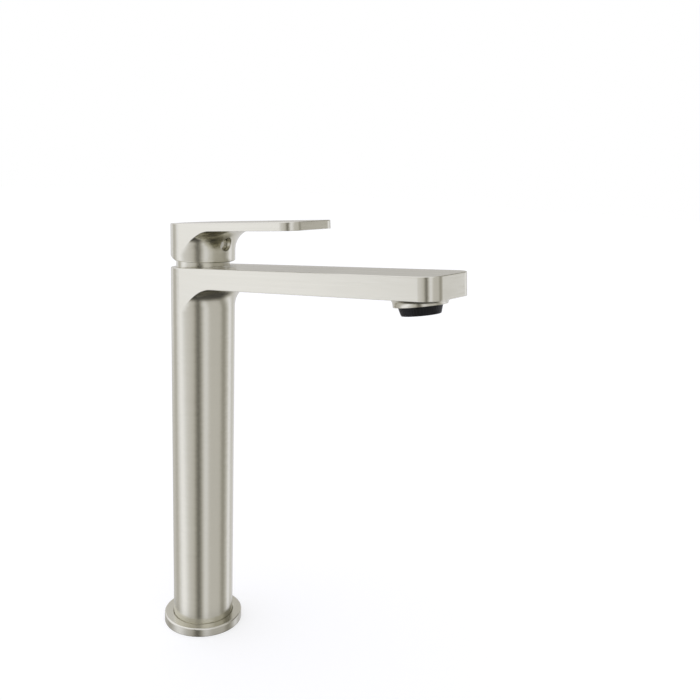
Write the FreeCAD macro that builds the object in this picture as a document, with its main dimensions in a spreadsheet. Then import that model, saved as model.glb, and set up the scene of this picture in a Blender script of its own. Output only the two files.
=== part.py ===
"""Tall single-lever basin mixer: a round column, a flat spout and a flat lever above it.

Frame: +Z up, origin on the column's axis in the deck plane, spout towards -Y, hot side at -X.
Lengths are millimetres and angles are degrees. The sizes stand in the sheet "Sizes".
"""
import FreeCAD, Part
import math
import os

import Sketcher

Vector = FreeCAD.Vector
Rotation = FreeCAD.Rotation
Placement = FreeCAD.Placement

SIZES = [
    # Cartridge shell, and the column around it
    ("shell_radius", 17.4, "cartridge shell"),
    ("shell_wall", 1.8, "cartridge shell"),
    ("chamber_gap", 0.6, "water gap around the cartridge"),
    ("nut_step", 1.05, "chamber's threaded mouth beyond the chamber, radius"),
    ("mouth_wall", 3.45, "wall of the column around the threaded mouth"),
    ("column_wall", 3.1, "wall of the column below the chamber"),
    ("floor_thickness", 9.5, "wall between the column's bore and the cartridge chamber"),
    ("foot_height", 1.5, "lower end of the column above the deck"),
    # Spout arm
    ("rise", 5.0, "upward slope of the arm and of the lever"),
    ("arm_top", 276.3, "top of the arm on the column's axis, above the deck"),
    ("arm_thickness", 14.0, "arm, square to its slope"),
    ("arm_reach", 202.7, "column's axis to the upper edge of the arm's end"),
    ("arm_corner", 10.0, "upright roundings of the arm's end"),
    ("arm_fillet", 16.5, "rounding between the column and the arm's underside"),
    ("edge_round", 0.5, "small rounding of the visible edges"),
    ("channel_half_width", 12.0, "water channel in the arm"),
    ("channel_wall", 3.4, "arm's wall above and below its channel, upright"),
    ("inlet_wall", 5.7, "arm's underside down to the channel's mouth in the chamber"),
    ("inlet_height", 7.0, "channel's mouth in the chamber"),
    ("elbow_run", 14.0, "chamber's wall to the end of the channel's slanted stretch"),
    # Outlet and aerator
    ("outlet_inset", 21.5, "arm's end to the middle of the outlet, on the underside"),
    ("outlet_tilt", 10.0, "outlet's axis from the plumb line, towards the front"),
    ("boss_wall", 4.2, "metal collar around the aerator's thread"),
    ("boss_drop", 4.85, "collar below the arm's underside"),
    ("boss_fillet", 4.3, "rounding between the collar and the underside"),
    ("aerator_thread", 12.0, "aerator's threaded outside, radius"),
    ("thread_length", 4.8, "aerator's thread above the collar's rim"),
    ("aerator_flange", 1.3, "black housing beyond its thread, at the collar"),
    ("aerator_taper", 1.35, "black housing narrows towards its lower end, radius"),
    ("aerator_drop", 5.45, "black housing below the collar"),
    ("aerator_wall", 1.4, "black housing"),
    ("aerator_lip_width", 1.2, "lip that carries the grid"),
    ("aerator_lip", 1.8, "height of that lip"),
    ("grid_thickness", 2.0, "honeycomb grid"),
    ("grid_hole", 1.05, "radius of a hole in the grid"),
    ("grid_ring_step", 3.1, "spacing of the rings of holes"),
    ("core_height", 4.0, "flow regulator above the grid"),
    ("washer_thickness", 1.4, "rubber washer behind the aerator"),
    # Base flange and foot
    ("flange_lip", 7.0, "base flange beyond the column"),
    ("flange_height", 6.5, "base flange"),
    ("flange_bevel", 0.7, "bevel of its upper edge"),
    ("seam_bevel", 0.45, "bevel of its inner edge, along the column"),
    ("ledge_step", 0.6, "hole in the ledge under the column, beyond the column's bore"),
    ("gasket_inset", 0.5, "column's outside to the deck gasket's groove"),
    ("gasket_width", 4.5, "groove of the deck gasket"),
    ("gasket_thickness", 2.0, "deck gasket"),
    ("insert_top", 20.0, "upper face of the foot insert above the deck"),
    ("port_thread", 4.5, "wall radius of a hose port, thread M10 x 1"),
    ("port_depth", 10.0, "hose port"),
    ("stud_thread", 3.4, "wall radius of a stud hole, thread M8"),
    ("stud_depth", 14.0, "stud hole"),
    ("stud_offset", 12.0, "stud holes in front of and behind the axis"),
    ("inlet_offset", 7.0, "hot and cold lines beside the axis"),
    ("riser_outer", 5.0, "riser tube, outside radius"),
    ("riser_wall", 1.8, "riser tube"),
    ("riser_socket", 6.0, "depth of a riser's seat"),
    ("seal_radius", 0.55, "half the thickness of a riser's O-ring"),
    ("foot_seal", 0.88, "half the thickness of the foot's O-ring"),
    ("foot_seal_drop", 2.64, "middle of that O-ring below the insert's top"),
    # Cartridge, measured from the lever's hinge pin
    ("pivot_drop", 0.3, "hinge pin below the arm's top on the axis"),
    ("stem_arm", 14.0, "hinge pin to the ball that moves the ceramic disc"),
    ("stem_crank", 12.5, "lower arm of the stem from the plumb line, with the lever down"),
    ("stem_ball", 3.0, "radius of that ball"),
    ("stem_shank", 2.5, "radius of the stem's lower arm"),
    ("stem_width", 8.0, "square stem"),
    ("stem_foot", 4.5, "square stem below the hinge pin"),
    ("slot_gap", 2.4, "end of the stem's slot to the rotor's outside"),
    ("pin_radius", 1.75, "hinge pin"),
    ("pin_inset", 0.565, "end of the hinge pin inside the rotor's outside"),
    ("carrier_gap", 0.77, "carrier at the end of its slide to the shell"),
    ("carrier_height", 7.0, "carrier of the moving disc"),
    ("carrier_floor", 1.1, "carrier under the ball"),
    ("disc_inset", 0.8, "moving ceramic disc inside its carrier's outline"),
    ("moving_disc", 3.5, "moving ceramic disc, thickness"),
    ("fixed_disc", 4.0, "fixed ceramic disc, thickness"),
    ("cavity_depth", 1.8, "hollow in the moving disc"),
    ("base_height", 7.0, "cartridge base"),
    ("base_flange_height", 3.0, "lower flange of the cartridge base"),
    ("inlet_seal_width", 1.5, "ring of a seal under the cartridge"),
    ("inlet_seal_height", 2.1, "seal under the cartridge"),
    ("shoulder_drop", 6.5, "shell's shoulder below the hinge pin"),
    ("shoulder_wall", 2.2, "shell's shoulder, thickness"),
    ("neck_step", 3.4, "shell's neck inside the shell's outside"),
    ("neck_wall", 2.4, "shell's neck"),
    ("neck_rise", 5.5, "shell's neck above the hinge pin"),
    ("collar_gap", 2.4, "rotor's collar inside the shell"),
    ("shell_seal", 0.9, "half the thickness of the cartridge's O-ring"),
    ("shell_seal_drop", 1.89, "middle of that O-ring below the shoulder"),
    ("nut_height", 4.5, "threaded part of the cartridge nut"),
    ("nut_neck_step", 2.15, "nut's collar inside its thread"),
    ("nut_neck_height", 6.0, "nut's collar"),
    ("notch_width", 3.0, "wrench notches in the nut's collar"),
    ("notch_depth", 3.0, "wrench notches in the nut's collar"),
    ("bonnet_rise", 2.0, "bonnet ring up inside the handle's skirt"),
    ("bonnet_lip", 1.2, "bonnet ring's top"),
    ("port_radius", 3.0, "water holes of the cartridge"),
    ("outlet_offset", 9.5, "mixed water hole in front of the axis"),
    # Handle
    ("skirt_gap", 4.7, "handle's skirt above the arm's top on the axis"),
    ("hub_height", 25.8, "skirt's lower edge to the lever's top on the axis"),
    ("lever_thickness", 5.5, "lever, square to its slope"),
    ("lever_reach", 100.5, "column's axis to the upper edge of the lever's end"),
    ("lever_corner", 9.5, "upright roundings of the lever's end"),
    ("lever_fillet", 15.0, "rounding between the hub and the lever's underside"),
    ("relief_start", 4.2, "rear relief of the skirt, behind the axis"),
    ("relief_angle", 14.0, "slope of that relief"),
    ("hub_wall", 2.0, "wall of the handle's skirt"),
    ("hub_cavity", 15.5, "hollow of the hub above the skirt's edge"),
    ("socket_rim", 7.6, "lower end of the stem's socket above the skirt's edge"),
    ("socket_wall", 4.5, "wall around the stem's socket"),
    ("socket_depth", 10.4, "stem inside the handle"),
    ("socket_gap", 0.1, "stem in its socket"),
    ("screw_height", 12.4, "set screw above the skirt's edge"),
    ("screw_radius", 2.1, "set screw M5, wall of its hole"),
    ("screw_gap", 1.7, "set screw to the cover plug"),
    ("key_radius", 1.26, "set screw's hexagon socket, across its corners"),
    ("key_depth", 2.94, "set screw's hexagon socket"),
    ("plug_radius", 4.6, "cover plug"),
    ("plug_recess", 3.3, "cover plug behind the hub's front"),
    ("plug_length", 3.5, "cover plug"),
    # Clearances
    ("fit_gap", 0.05, "seated pieces that don't move on each other"),
    ("run_gap", 0.3, "pieces that move past each other"),
    ("pin_gap", 0.05, "hinge pin in its holes"),
    ("overcut", 1.0, "a cut reaches this far beyond the face that it opens"),
]

NUT_NOTCHES = 6
JET_HOLES = 12
HOLES_PER_RING = 6      # the n-th ring of the grid has n times as many
KEY_CORNERS = 6
INLET_HOLLOW = 0.5      # reach of the moving disc's hollows, as shares of its radius
OUTLET_HOLLOW = 0.75
ON_FACE = 0.01          # an edge this close to a face lies on it
NEARBY = 1.5            # an edge this close to a place belongs to it


class Size:
    """A length or an angle, with the expression that works it out from the sheet."""

    def __init__(self, value, text):
        self.value = float(value)
        self.text = text

    def __float__(self):
        return self.value

    def __add__(self, other):
        return Size(self.value + float(other), "(%s + %s)" % (self.text, text_of(other)))

    def __radd__(self, other):
        return Size(float(other) + self.value, "(%s + %s)" % (text_of(other), self.text))

    def __sub__(self, other):
        return Size(self.value - float(other), "(%s - %s)" % (self.text, text_of(other)))

    def __rsub__(self, other):
        return Size(float(other) - self.value, "(%s - %s)" % (text_of(other), self.text))

    def __mul__(self, other):
        return Size(self.value * float(other), "(%s * %s)" % (self.text, text_of(other)))

    __rmul__ = __mul__

    def __truediv__(self, other):
        return Size(self.value / float(other), "(%s / %s)" % (self.text, text_of(other)))

    def __neg__(self):
        return Size(-self.value, "(0 - %s)" % self.text)


def text_of(size):
    """The expression of a size, or a plain number as text."""
    return size.text if isinstance(size, Size) else repr(float(size))


def sine(angle):
    return Size(math.sin(math.radians(float(angle))), "sin(%s)" % angle.text)


def cosine(angle):
    return Size(math.cos(math.radians(float(angle))), "cos(%s)" % angle.text)


def tangent(angle):
    return Size(math.tan(math.radians(float(angle))), "tan(%s)" % angle.text)


doc = FreeCAD.newDocument("basin_mixer")
sheet = doc.addObject("Spreadsheet::Sheet", "Sizes")


class Sizes:
    """The driving sizes by name."""


for row, (alias, value, meaning) in enumerate(SIZES, start=1):
    sheet.set("A%d" % row, meaning)
    sheet.set("B%d" % row, str(value))
    sheet.setAlias("B%d" % row, alias)
    setattr(Sizes, alias, Size(value, "Sizes.%s" % alias))
doc.recompute()
S = Sizes
pieces = []


# Building blocks

def bind(item, name, size):
    """Tie one property of an object to a size."""
    if isinstance(size, Size):
        item.setExpression(name, size.text)


def named(item, name):
    """Give a finished piece its name and keep it for the export."""
    item.Label = name
    pieces.append(item)
    return item


def place(item, x=0, y=0, z=0, axis=Vector(1, 0, 0), angle=0):
    """Put an object at a point, turned about one axis, with each part tied to its size."""
    item.Placement = Placement(
        Vector(float(x), float(y), float(z)), Rotation(axis, float(angle)))
    bind(item, "Placement.Base.x", x)
    bind(item, "Placement.Base.y", y)
    bind(item, "Placement.Base.z", z)
    bind(item, "Placement.Rotation.Angle", angle)
    return item


def new_body(name):
    return named(doc.addObject("PartDesign::Body", name), name)


def flat_sketch(body, name, role, height=0):
    """A sketch on one of the body's own origin planes, raised by a height."""
    sketch = body.newObject("Sketcher::SketchObject", name)
    plane = [f for f in body.Origin.OriginFeatures if f.Role == role][0]
    sketch.AttachmentSupport = [(plane, "")]
    sketch.MapMode = "FlatFace"
    sketch.AttachmentOffset = Placement(Vector(0, 0, float(height)), Rotation())
    bind(sketch, "AttachmentOffset.Base.z", height)
    return sketch


def tie(sketch, kind, geometry, point, size):
    """Hold one coordinate of a point, measured from the sketch's origin."""
    index = sketch.addConstraint(
        Sketcher.Constraint(kind, -1, 1, geometry, point, float(size)))
    bind(sketch, "Constraints[%d]" % index, size)


def add_polygon(sketch, corners):
    """A closed outline of straight lines through the corners."""
    first = sketch.GeometryCount
    count = len(corners)
    for i, (x, y) in enumerate(corners):
        u, v = corners[(i + 1) % count]
        line = Part.LineSegment(Vector(float(x), float(y), 0), Vector(float(u), float(v), 0))
        sketch.addGeometry(line, False)
    for i, (x, y) in enumerate(corners):
        sketch.addConstraint(
            Sketcher.Constraint("Coincident", first + i, 2, first + (i + 1) % count, 1))
        tie(sketch, "DistanceX", first + i, 1, x)
        tie(sketch, "DistanceY", first + i, 1, y)


def add_circle(sketch, x, y, radius):
    centre = Vector(float(x), float(y), 0)
    index = sketch.addGeometry(Part.Circle(centre, Vector(0, 0, 1), float(radius)), False)
    tie(sketch, "DistanceX", index, 3, x)
    tie(sketch, "DistanceY", index, 3, y)
    size = sketch.addConstraint(Sketcher.Constraint("Radius", index, float(radius)))
    bind(sketch, "Constraints[%d]" % size, radius)


def turned(body, name, corners, kind="Revolution"):
    """A turned shape about the body's Z axis, from corners given as radius and height."""
    sketch = flat_sketch(body, name + "_profile", "XZ_Plane")
    add_polygon(sketch, corners)
    feature = body.newObject("PartDesign::" + kind, name)
    feature.Profile = sketch
    feature.ReferenceAxis = (sketch, ["V_Axis"])
    feature.Angle = 360.0
    return feature


def side_slab(body, name, corners, width, kind="Pad"):
    """A shape of the side view, given as y and z, evenly wide about the plane of symmetry."""
    sketch = flat_sketch(body, name + "_profile", "YZ_Plane")
    add_polygon(sketch, corners)
    feature = body.newObject("PartDesign::" + kind, name)
    feature.Profile = sketch
    feature.Midplane = True
    feature.Length = float(width)
    bind(feature, "Length", width)
    return feature


def drum(body, name, radius, length, x=0, y=0, z=0, axis=Vector(1, 0, 0), angle=0, add=False):
    """A round hole in the body, or a round boss on it."""
    kind = "PartDesign::AdditiveCylinder" if add else "PartDesign::SubtractiveCylinder"
    feature = body.newObject(kind, name)
    feature.Radius = float(radius)
    feature.Height = float(length)
    bind(feature, "Radius", radius)
    bind(feature, "Height", length)
    return place(feature, x, y, z, axis, angle)


def block(body, name, low, high, add=False):
    """A box cut from the body, or added to it, between two corners."""
    kind = "PartDesign::AdditiveBox" if add else "PartDesign::SubtractiveBox"
    feature = body.newObject(kind, name)
    for side, a, b in zip(("Length", "Width", "Height"), low, high):
        span = b - a
        setattr(feature, side, float(span))
        bind(feature, side, span)
    return place(feature, *low)


def round_edges(body, name, radius, wanted):
    """Round the edges of the body's last feature for which the test holds."""
    doc.recompute()
    last = body.Tip
    names = [
        "Edge%d" % i for i, edge in enumerate(last.Shape.Edges, start=1) if wanted(edge)]
    feature = body.newObject("PartDesign::Fillet", name)
    feature.Base = (last, names)
    feature.Radius = float(radius)
    bind(feature, "Radius", radius)
    doc.recompute()
    return feature


def is_line(edge):
    return isinstance(edge.Curve, Part.Line)


def plain_ring(name, inner, outer, height, x=0, y=0, z=0):
    """A flat ring as one cylinder cut from another."""
    outside = doc.addObject("Part::Cylinder", name + "_outside")
    inside = doc.addObject("Part::Cylinder", name + "_inside")
    for item, radius in ((outside, outer), (inside, inner)):
        item.Radius = float(radius)
        item.Height = float(height)
        bind(item, "Radius", radius)
        bind(item, "Height", height)
    ring = doc.addObject("Part::Cut", name)
    ring.Base = outside
    ring.Tool = inside
    return place(ring, x, y, z)


def o_ring(name, middle, thickness_radius, x=0, y=0, z=0):
    """A round rubber ring lying flat."""
    ring = doc.addObject("Part::Torus", name)
    ring.Radius1 = float(middle)
    ring.Radius2 = float(thickness_radius)
    bind(ring, "Radius1", middle)
    bind(ring, "Radius2", thickness_radius)
    return place(ring, x, y, z)


def group(name, members):
    """Several like solids that share one name."""
    item = doc.addObject("Part::Compound", name)
    item.Links = members
    return named(item, name)


# Heights and places worked out from the sizes

chamber_radius = S.shell_radius + S.chamber_gap
nut_bore = chamber_radius + S.nut_step
body_radius = nut_bore + S.mouth_wall
column_bore = body_radius - S.column_wall
shell_bore = S.shell_radius - S.shell_wall
neck_radius = S.shell_radius - S.neck_step
neck_bore = neck_radius - S.neck_wall
bonnet_radius = nut_bore - S.run_gap
nut_neck = nut_bore - S.nut_neck_step
riser_inner = S.riser_outer - S.riser_wall

aerator_rim = S.aerator_thread + S.aerator_flange
aerator_tip = aerator_rim - S.aerator_taper
aerator_bore = S.aerator_thread - S.aerator_wall
aerator_mouth = aerator_bore - S.aerator_lip_width
boss_radius = S.aerator_thread + S.boss_wall
outlet_reach = S.arm_reach - S.outlet_inset

slope = tangent(S.rise)
arm_depth = S.arm_thickness / cosine(S.rise)
arm_under = S.arm_top - arm_depth
skirt_bottom = S.arm_top + S.skirt_gap
lever_top = skirt_bottom + S.hub_height
lever_depth = S.lever_thickness / cosine(S.rise)
pivot = S.arm_top - S.pivot_drop
ball_y = S.stem_arm * sine(S.stem_crank)
ball_z = pivot - S.stem_arm * cosine(S.stem_crank)
carrier_bottom = pivot - S.stem_arm - S.stem_ball - S.carrier_floor
moving_bottom = carrier_bottom - S.moving_disc
fixed_bottom = moving_bottom - S.fixed_disc
chamber_floor = fixed_bottom - S.base_height
bore_top = chamber_floor - S.floor_thickness
shoulder = pivot - S.shoulder_drop
neck_top = pivot + S.neck_rise
nut_top = shoulder + S.nut_height
shell_seal_z = shoulder - S.shell_seal_drop


def flat_limb(body, name, top, thickness, reach, bottom, fillet, corner):
    """The shape that arm and lever share.

    A round post carries a flat limb that rises towards the front. The post and the limb's
    underside blend in a rounding, and the upright outline of post and limb trims it, which
    leaves an arch on each flat side. The limb's end is square to its slope.
    """
    under = top - thickness / cosine(S.rise)
    margin = fillet + body_radius / 2
    wide = body_radius + margin
    half = thickness / cosine(S.rise) / 2

    post = flat_sketch(body, name + "_post_outline", "XY_Plane", bottom)
    add_circle(post, 0, 0, body_radius)
    pad = body.newObject("PartDesign::Pad", name + "_post")
    pad.Profile = post
    pad.Length = float(top + wide * slope - bottom)
    bind(pad, "Length", top + wide * slope - bottom)
    side_slab(body, name + "_post_trim", [
        (-wide, top - half + slope * wide),
        (wide, top - half - slope * wide),
        (wide, top + wide),
        (-wide, top + wide),
    ], wide * 2, "Pocket")

    side_slab(body, name + "_slab", [
        (wide, under - slope * wide),
        (-reach - thickness * sine(S.rise), top + slope * reach - thickness * cosine(S.rise)),
        (-reach, top + slope * reach),
        (wide, top - slope * wide),
    ], wide * 2)
    round_edges(body, name + "_arch", fillet, lambda edge: isinstance(edge.Curve, Part.Ellipse))

    outline = flat_sketch(
        body, name + "_outline", "XY_Plane", under - slope * wide - fillet - margin)
    far = reach + margin
    add_polygon(outline, [
        (-wide * 2, wide * 2), (-wide * 2, -far * 2), (wide * 2, -far * 2), (wide * 2, wide * 2)])
    first = outline.GeometryCount
    radius = float(body_radius)
    ends = [(-radius, 0), (-radius, -float(far)), (radius, -float(far)), (radius, 0)]
    for (x, y), (u, v) in zip(ends[:-1], ends[1:]):
        outline.addGeometry(Part.LineSegment(Vector(x, y, 0), Vector(u, v, 0)), False)
    rear = Part.ArcOfCircle(Part.Circle(Vector(0, 0, 0), Vector(0, 0, 1), radius), 0, math.pi)
    arc = outline.addGeometry(rear, False)
    outline.addConstraint(Sketcher.Constraint("Coincident", arc, 3, -1, 1))
    outline.addConstraint(Sketcher.Constraint("Coincident", arc, 2, first, 1))
    outline.addConstraint(Sketcher.Constraint("Coincident", arc, 1, first + 2, 2))
    outline.addConstraint(Sketcher.Constraint("Coincident", first, 2, first + 1, 1))
    outline.addConstraint(Sketcher.Constraint("Coincident", first + 1, 2, first + 2, 1))
    tie(outline, "DistanceX", first, 1, -body_radius)
    tie(outline, "DistanceY", first, 1, 0)
    tie(outline, "DistanceX", first, 2, -body_radius)
    tie(outline, "DistanceY", first, 2, -far)
    tie(outline, "DistanceX", first + 2, 1, body_radius)
    tie(outline, "DistanceY", first + 2, 1, -far)
    tie(outline, "DistanceY", first + 2, 2, 0)
    trim = body.newObject("PartDesign::Pocket", name + "_trim")
    trim.Profile = outline
    trim.Reversed = True
    trim.Length = float(wide * 4 + reach)
    bind(trim, "Length", wide * 4 + reach)

    near_end = -float(reach) + float(corner)
    round_edges(body, name + "_corners", corner, lambda edge: (
        is_line(edge) and abs(edge.CenterOfMass.x) > radius - ON_FACE
        and edge.CenterOfMass.y < near_end and edge.Length < float(thickness) + NEARBY))


def outline_edges(top, thickness, reach, corner):
    """A test for the edges around the limb's upper face and along its lower sides."""
    radius = float(body_radius)

    def on_plane(edge, height):
        points = [edge.valueAt(edge.FirstParameter), edge.valueAt(edge.LastParameter),
                  edge.valueAt((edge.FirstParameter + edge.LastParameter) / 2)]
        return all(abs(p.z - height + float(slope) * p.y) < ON_FACE for p in points)

    def outside(edge):
        middle = edge.valueAt((edge.FirstParameter + edge.LastParameter) / 2)
        rear = math.hypot(middle.x, middle.y) > radius - ON_FACE
        side = abs(middle.x) > radius - float(corner)
        return side and rear or middle.y < -float(reach) + NEARBY

    return lambda edge: outside(edge) and on_plane(edge, float(top))


# Column with the spout arm

body = new_body("column_and_spout")
flat_limb(body, "arm", S.arm_top, S.arm_thickness, S.arm_reach,
          S.foot_height, S.arm_fillet, S.arm_corner)

# The outlet's place: a point on the underside, and the axis that leans to the front.
outlet_z = arm_under + slope * outlet_reach
outlet_lean = -S.outlet_tilt
sunk = S.boss_fillet * 2
drum(body, "outlet_boss", boss_radius, S.boss_drop + sunk, 0,
     -outlet_reach - S.boss_drop * sine(S.outlet_tilt),
     outlet_z - S.boss_drop * cosine(S.outlet_tilt), angle=outlet_lean, add=True)


def meets_underside(edge):
    """The curve where the outlet's collar enters the arm's underside."""
    middle = edge.CenterOfMass
    span = edge.BoundBox.XLength
    return (abs(middle.y + float(outlet_reach)) < NEARBY and not is_line(edge)
            and abs(span - 2 * float(boss_radius)) < ON_FACE
            and abs(middle.z - float(outlet_z)) < NEARBY)


round_edges(body, "outlet_blend", S.boss_fillet, meets_underside)
round_edges(body, "arm_edges", S.edge_round,
            outline_edges(S.arm_top, S.arm_thickness, S.arm_reach, S.arm_corner))

# Rim of the outlet: a place in the aerator's own frame, as a distance above the rim.
rim_y = -outlet_reach - S.boss_drop * sine(S.outlet_tilt)
rim_z = outlet_z - S.boss_drop * cosine(S.outlet_tilt)


def outlet_place(item, above_rim):
    """Put an upright piece on the outlet's axis, a distance above the collar's rim."""
    return place(item, 0, rim_y + above_rim * sine(S.outlet_tilt),
                 rim_z + above_rim * cosine(S.outlet_tilt), angle=outlet_lean)


outlet_bore_depth = S.thread_length + S.washer_thickness + S.fit_gap
outlet_place(drum(body, "aerator_bore", S.aerator_thread + S.fit_gap, outlet_bore_depth), 0)
outlet_place(drum(body, "outlet_passage", aerator_mouth,
                  S.channel_wall + S.boss_drop + S.boss_fillet), 0)

# Column's bore, the cartridge chamber and its threaded mouth.
drum(body, "column_bore", column_bore, bore_top - S.foot_height + S.overcut,
     z=S.foot_height - S.overcut)
drum(body, "chamber", chamber_radius, S.arm_top - chamber_floor, z=chamber_floor)
drum(body, "nut_thread", nut_bore, S.arm_thickness * 2, z=shoulder - S.run_gap)
for side, line in ((-1, "hot"), (1, "cold")):
    drum(body, line + "_seat", S.riser_outer + S.fit_gap, S.riser_socket + S.overcut,
         S.inlet_offset * side, 0, bore_top - S.overcut)
    drum(body, line + "_passage", S.port_radius, S.floor_thickness + S.overcut,
         S.inlet_offset * side, 0, bore_top)

# Water channel: a slanted mouth in the chamber's wall, then along the arm.
elbow_reach = chamber_radius + S.elbow_run
mouth_top = arm_under - S.inlet_wall + S.inlet_height
channel_end = outlet_reach + aerator_mouth
side_slab(body, "water_channel", [
    (-chamber_radius + S.overcut, arm_under - S.inlet_wall),
    (-chamber_radius, arm_under - S.inlet_wall),
    (-elbow_reach, arm_under + slope * elbow_reach + S.channel_wall),
    (-channel_end, arm_under + slope * channel_end + S.channel_wall),
    (-channel_end, S.arm_top + slope * channel_end - S.channel_wall),
    (-elbow_reach, S.arm_top + slope * elbow_reach - S.channel_wall),
    (-chamber_radius, mouth_top),
    (-chamber_radius + S.overcut, mouth_top),
], S.channel_half_width * 2, "Pocket")


# Base flange and foot

flange = new_body("base_flange")
seat = body_radius + S.fit_gap
ledge = column_bore + S.ledge_step
flange_radius = body_radius + S.flange_lip
gasket_inner = body_radius + S.gasket_inset
gasket_outer = gasket_inner + S.gasket_width
turned(flange, "flange_ring", [
    (ledge, 0),
    (gasket_inner, 0),
    (gasket_inner, S.gasket_thickness),
    (gasket_outer, S.gasket_thickness),
    (gasket_outer, 0),
    (flange_radius, 0),
    (flange_radius, S.flange_height - S.flange_bevel),
    (flange_radius - S.flange_bevel, S.flange_height),
    (seat + S.seam_bevel, S.flange_height),
    (seat, S.flange_height - S.seam_bevel),
    (seat, S.foot_height),
    (ledge, S.foot_height),
])

gasket = plain_ring("deck_gasket", gasket_inner + S.fit_gap, gasket_outer - S.fit_gap,
                    S.gasket_thickness)
named(gasket, "deck_gasket")

insert = new_body("foot_insert")
insert_radius = column_bore - S.fit_gap
foot_seal_z = S.insert_top - S.foot_seal_drop
turned(insert, "insert_plug", [
    (0, 0),
    (insert_radius, 0),
    (insert_radius, foot_seal_z - S.foot_seal - S.fit_gap),
    (column_bore - S.foot_seal * 2, foot_seal_z - S.foot_seal - S.fit_gap),
    (column_bore - S.foot_seal * 2, foot_seal_z + S.foot_seal + S.fit_gap),
    (insert_radius, foot_seal_z + S.foot_seal + S.fit_gap),
    (insert_radius, S.insert_top),
    (0, S.insert_top),
])
for side, line in ((-1, "hot"), (1, "cold")):
    drum(insert, line + "_port", S.port_thread, S.port_depth, S.inlet_offset * side, 0, 0)
    drum(insert, line + "_way", riser_inner, S.insert_top, S.inlet_offset * side, 0, 0)
    drum(insert, line + "_socket", S.riser_outer + S.fit_gap, S.riser_socket + S.overcut,
         S.inlet_offset * side, 0, S.insert_top - S.riser_socket)
for side, end in ((-1, "front"), (1, "rear")):
    drum(insert, end + "_stud_hole", S.stud_thread, S.stud_depth, 0, S.stud_offset * side, 0)

named(o_ring("foot_o_ring", column_bore - S.foot_seal, S.foot_seal, z=foot_seal_z), "foot_o_ring")

riser_low = S.insert_top - S.riser_socket + S.fit_gap
riser_high = bore_top + S.riser_socket - S.fit_gap
groove = S.riser_outer + S.fit_gap - S.seal_radius * 2
seal_heights = (S.insert_top - S.riser_socket / 2, bore_top + S.riser_socket / 2)
riser_rings = []
for side, line in ((-1, "hot"), (1, "cold")):
    riser = new_body(line + "_riser_tube")
    turned(riser, line + "_tube", [
        (riser_inner, riser_low),
        (S.riser_outer, riser_low),
        (S.riser_outer, seal_heights[0] - S.seal_radius - S.fit_gap),
        (groove, seal_heights[0] - S.seal_radius - S.fit_gap),
        (groove, seal_heights[0] + S.seal_radius + S.fit_gap),
        (S.riser_outer, seal_heights[0] + S.seal_radius + S.fit_gap),
        (S.riser_outer, seal_heights[1] - S.seal_radius - S.fit_gap),
        (groove, seal_heights[1] - S.seal_radius - S.fit_gap),
        (groove, seal_heights[1] + S.seal_radius + S.fit_gap),
        (S.riser_outer, seal_heights[1] + S.seal_radius + S.fit_gap),
        (S.riser_outer, riser_high),
        (riser_inner, riser_high),
    ])
    place(riser, S.inlet_offset * side)
    for end, height in zip(("low", "high"), seal_heights):
        riser_rings.append(o_ring("%s_%s_ring" % (line, end), groove + S.seal_radius,
                                  S.seal_radius, S.inlet_offset * side, 0, height))
group("riser_o_rings", riser_rings)


# Cartridge

base = new_body("cartridge_base")
base_step = chamber_floor + S.base_flange_height
turned(base, "base_plug", [
    (0, chamber_floor),
    (S.shell_radius, chamber_floor),
    (S.shell_radius, base_step),
    (shell_bore - S.fit_gap, base_step),
    (shell_bore - S.fit_gap, fixed_bottom),
    (0, fixed_bottom),
])
seal_outer = S.port_radius + S.inlet_seal_width
seals = []
for side, line in ((-1, "hot"), (1, "cold")):
    drum(base, line + "_inlet", S.port_radius, S.base_height, S.inlet_offset * side, 0, chamber_floor)
    drum(base, line + "_recess", seal_outer + S.fit_gap, S.inlet_seal_height,
         S.inlet_offset * side, 0, chamber_floor)
    seals.append(plain_ring(line + "_seal", S.port_radius, seal_outer, S.inlet_seal_height,
                            S.inlet_offset * side, 0, chamber_floor))
drum(base, "mixed_outlet", S.port_radius, S.base_height, 0, -S.outlet_offset, chamber_floor)
block(base, "outlet_notch",
      (-S.port_radius, -S.shell_radius - S.overcut, chamber_floor),
      (S.port_radius, -S.outlet_offset, chamber_floor + S.inlet_seal_height), add=False)
group("inlet_seals", seals)

fixed = new_body("fixed_ceramic_disc")
turned(fixed, "fixed_plate", [
    (0, fixed_bottom),
    (shell_bore - S.fit_gap, fixed_bottom),
    (shell_bore - S.fit_gap, moving_bottom),
    (0, moving_bottom),
])
for x, y, port in ((-S.inlet_offset, 0, "hot"), (S.inlet_offset, 0, "cold"),
                   (0, -S.outlet_offset, "mixed")):
    drum(fixed, port + "_port_hole", S.port_radius, S.fixed_disc, x, y, fixed_bottom)

carrier_radius = shell_bore - ball_y - S.carrier_gap
disc_radius = carrier_radius - S.disc_inset
moving = new_body("moving_ceramic_disc")
turned(moving, "moving_plate", [
    (0, moving_bottom),
    (disc_radius, moving_bottom),
    (disc_radius, carrier_bottom),
    (0, carrier_bottom),
])
hollow_top = moving_bottom + S.cavity_depth
block(moving, "inlet_hollow",
      (-S.inlet_offset - S.overcut, 0, moving_bottom),
      (S.inlet_offset + S.overcut, disc_radius * INLET_HOLLOW, hollow_top))
block(moving, "outlet_hollow",
      (-S.port_radius, -disc_radius * OUTLET_HOLLOW, moving_bottom),
      (S.port_radius, 0, hollow_top))
place(moving, 0, ball_y)

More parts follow.
